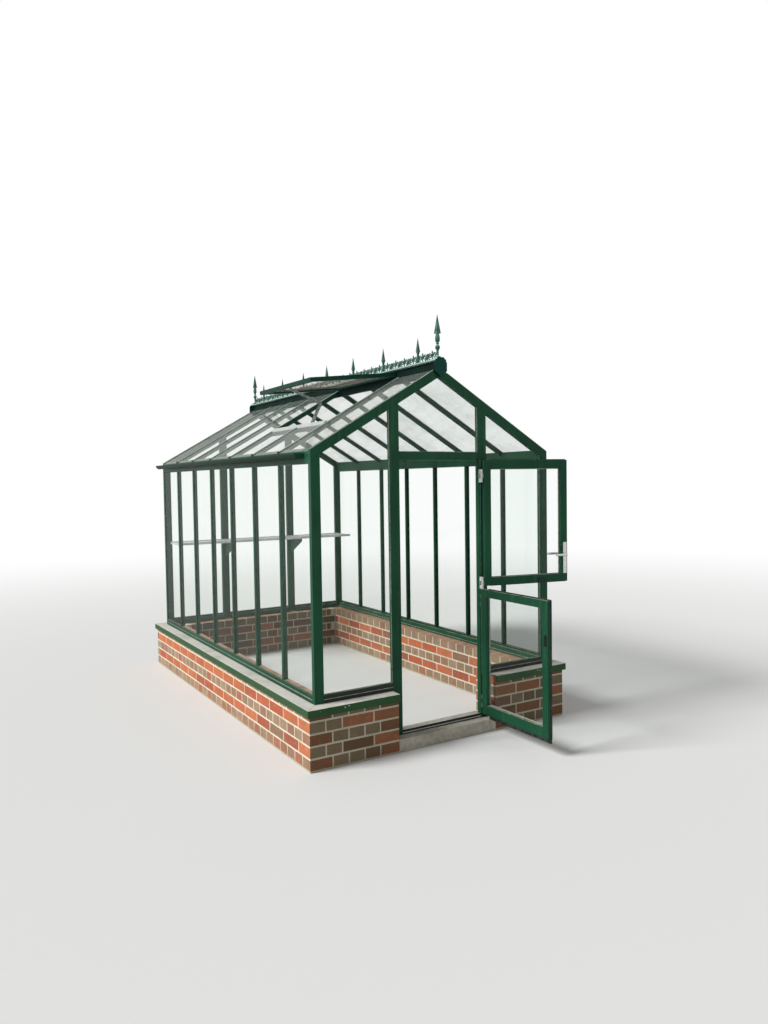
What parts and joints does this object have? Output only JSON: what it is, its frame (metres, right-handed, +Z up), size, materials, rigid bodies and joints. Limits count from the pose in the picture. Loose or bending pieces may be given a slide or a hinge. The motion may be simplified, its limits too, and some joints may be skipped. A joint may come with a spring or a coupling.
{
  "type": "glass greenhouse",
  "caption": "Apex-roofed glass greenhouse on a brick plinth, with a two-leaf stable door, ridge cresting, finials and an open roof vent.",
  "frame": {"origin": "middle of the bounding box at ground level, the open lower door leaf included", "axes": "+Z up, +Y along the ridge from the door gable to the back gable, +X to the right seen from the door"},
  "size_m": [2.322, 4.456, 3.1513],
  "materials": {
    "brick": "fired clay brick laid in English bond with pale mortar",
    "concrete": "cast concrete, weathered",
    "coping": "dark green paint, weathered pale on top",
    "green_paint": "moss green powder coat, satin",
    "cast_green": "cast and painted moss green",
    "glass": "clear float glass",
    "bare_aluminium": "mill finish, dulled",
    "hinge_metal": "light grey coat",
    "handle_metal": "satin",
    "latch_plastic": "black",
    "seal_rubber": "black strip, dusty"
  },
  "bodies": {
    "house": {"plinth_left": "brick", "plinth_right": "brick", "plinth_back": "brick", "plinth_front": "brick", "door_step": "concrete", "coping": "coping", "base_rails_sides": "green_paint", "base_rails_gables": "green_paint", "corner_posts": "green_paint", "door_posts": "green_paint", "back_mullions": "green_paint", "door_transom": "green_paint", "gable_rafters": "green_paint", "eave_beams": "green_paint", "gutters": "green_paint", "ridge_beam": "green_paint", "wall_bars": "green_paint", "roof_bars": "green_paint", "vent_frame": "green_paint", "ridge_cresting": "cast_green", "finials": "cast_green", "wall_glass": "glass", "roof_glass": "glass", "front_gable_glass": "glass", "back_gable_glass": "glass", "vent_glass": "glass", "door_sill": "bare_aluminium", "vent_sill_bar": "bare_aluminium", "vent_opener": "bare_aluminium", "back_shelf": "bare_aluminium", "shelf_brackets": "bare_aluminium", "post_hinges": "hinge_metal"},
    "upper_leaf": {"upper_leaf_frame": "green_paint", "upper_leaf_glass": "glass", "upper_leaf_seals": "seal_rubber", "upper_leaf_hinges": "hinge_metal", "upper_leaf_bolt": "latch_plastic", "handle_plates": "handle_metal"},
    "lever": {"lever_handles": "handle_metal"},
    "lower_leaf": {"lower_leaf_frame": "green_paint", "lower_leaf_glass": "glass", "lower_leaf_seals": "seal_rubber", "lower_leaf_hinges": "hinge_metal", "lower_latch": "latch_plastic"}
  },
  "joints": [
    {"name": "upper_leaf_hinge", "type": "hinge", "parent": "house", "child": "upper_leaf", "pos_m": [0.365, -1.497, 1.6], "axis": [0, 0, 1], "range_deg": [-167, 8]},
    {"name": "lower_leaf_hinge", "type": "hinge", "parent": "house", "child": "lower_leaf", "pos_m": [0.365, -1.497, 0.6], "axis": [0, 0, 1], "range_deg": [-90, 30]},
    {"name": "lever_turn", "type": "hinge", "parent": "upper_leaf", "child": "lever", "pos_m": [1.04811, -1.65881, 1.332], "axis": [-0.225, -0.9744, 0], "range_deg": [0, 45], "stiffness_Nm_per_rad": 1.5, "springref_deg": -28.65}
  ]
}
